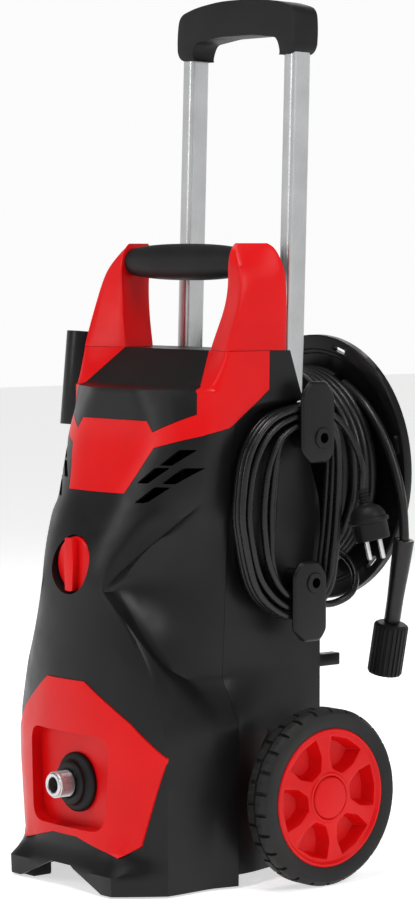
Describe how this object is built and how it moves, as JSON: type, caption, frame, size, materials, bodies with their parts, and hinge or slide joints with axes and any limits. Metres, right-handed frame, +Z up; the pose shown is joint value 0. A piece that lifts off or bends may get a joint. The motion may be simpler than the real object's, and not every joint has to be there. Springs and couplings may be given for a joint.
{
  "type": "pressure washer",
  "caption": "Upright electric pressure washer on two wheels with a carry handle, a telescopic handle, a rear hose reel, side cord hooks and a front water outlet.",
  "frame": {"origin": "on the floor, under the middle of the box around everything but the cords and hose end", "axes": "+Z up, the front with the outlet and knob faces -Y, the machine's right side with the cord hooks faces +X"},
  "size_m": [0.33, 0.3704, 0.8461],
  "materials": {
    "black_plastic": "fine moulded texture",
    "red_plastic": "satin",
    "soft_black": "matte soft grip",
    "rubber": "matte",
    "hose_rubber": "satin",
    "cord_rubber": "satin",
    "tyre": "matte",
    "aluminium": "brushed, clear anodised",
    "steel": "satin",
    "cast_metal": "as cast",
    "brass": "machined",
    "grey_plastic": "matte"
  },
  "bodies": {
    "housing": {"front_shell": "black_plastic", "rear_shell": "black_plastic", "top_cover": "black_plastic", "front_trim": "red_plastic", "base_plate": "black_plastic", "foot_right": "rubber", "foot_left": "rubber", "outlet_panel": "red_plastic", "outlet_collar": "soft_black", "outlet_nipple": "steel", "rotary_switch": "grey_plastic", "carry_handle": "red_plastic", "carry_grip": "soft_black", "handle_guide_right": "black_plastic", "handle_guide_left": "black_plastic", "axle": "steel", "reel_bracket": "black_plastic", "reel_axle": "steel", "hose_tail": "hose_rubber", "hose_sleeve": "hose_rubber", "lower_cord_hook": "black_plastic", "upper_hook_screw": "steel", "lower_hook_screw": "steel", "cord_gland": "rubber", "power_cord_coil": "cord_rubber", "power_cord_lead": "cord_rubber", "power_cord_tail": "cord_rubber", "power_plug": "cord_rubber", "lance_holder": "black_plastic", "rear_bracket": "black_plastic", "pump_head": "cast_metal", "pump_body": "cast_metal", "motor_casing": "steel", "motor_end_shield": "cast_metal", "outlet_pipe": "steel", "inlet_pipe": "hose_rubber", "inlet_fitting": "brass", "pressure_switch": "grey_plastic", "suppression_capacitor": "grey_plastic"},
    "telescopic_handle": {"handle_post_left": "aluminium", "handle_post_right": "aluminium", "telescopic_grip": "soft_black"},
    "wheel_right": {"wheel_tyre_right": "tyre", "wheel_rim_right": "red_plastic", "wheel_cap_right": "red_plastic"},
    "wheel_left": {"wheel_tyre_left": "tyre", "wheel_rim_left": "red_plastic", "wheel_cap_left": "red_plastic"},
    "knob": {"switch_knob": "red_plastic"},
    "reel": {"reel_front_flange": "black_plastic", "reel_drum": "black_plastic", "reel_rear_flange": "black_plastic", "hose_wound": "hose_rubber"},
    "crank": {"crank_knob": "soft_black"},
    "upper_hook": {"upper_cord_hook": "black_plastic"},
    "swivel_nut": {"hose_nut": "soft_black"},
    "rotor": {"motor_rotor": "steel"}
  },
  "joints": [
    {"name": "handle_slide", "type": "slide", "parent": "housing", "child": "telescopic_handle", "axis": [0, 0.0288, 0.9996], "range_m": [-0.26, 0]},
    {"name": "wheel_right_spin", "type": "hinge", "parent": "housing", "child": "wheel_right", "pos_m": [0.15, 0.02125, 0.0845], "axis": [1, 0, 0], "continuous": true},
    {"name": "wheel_left_spin", "type": "hinge", "parent": "housing", "child": "wheel_left", "pos_m": [-0.15, 0.02125, 0.0845], "axis": [1, 0, 0], "continuous": true},
    {"name": "knob_turn", "type": "hinge", "parent": "housing", "child": "knob", "pos_m": [0, -0.16675, 0.306], "axis": [0, 1, 0], "range_deg": [0, 90]},
    {"name": "reel_spin", "type": "hinge", "parent": "housing", "child": "reel", "pos_m": [0, 0.12025, 0.385], "axis": [0, 1, 0], "continuous": true},
    {"name": "crank_knob_spin", "type": "hinge", "parent": "reel", "child": "crank", "pos_m": [-0.07536, 0.17025, 0.33223], "axis": [0, 1, 0], "continuous": true},
    {"name": "upper_hook_turn", "type": "hinge", "parent": "housing", "child": "upper_hook", "pos_m": [0.115, 0.03925, 0.424], "axis": [1, 0, 0], "range_deg": [0, 180]},
    {"name": "hose_nut_spin", "type": "hinge", "parent": "housing", "child": "swivel_nut", "pos_m": [0.1255, 0.13525, 0.237], "axis": [-0.2017, 0, -0.9795], "continuous": true},
    {"name": "rotor_spin", "type": "hinge", "parent": "housing", "child": "rotor", "pos_m": [0, -0.03775, 0.25], "axis": [0, 0, 1], "continuous": true}
  ]
}
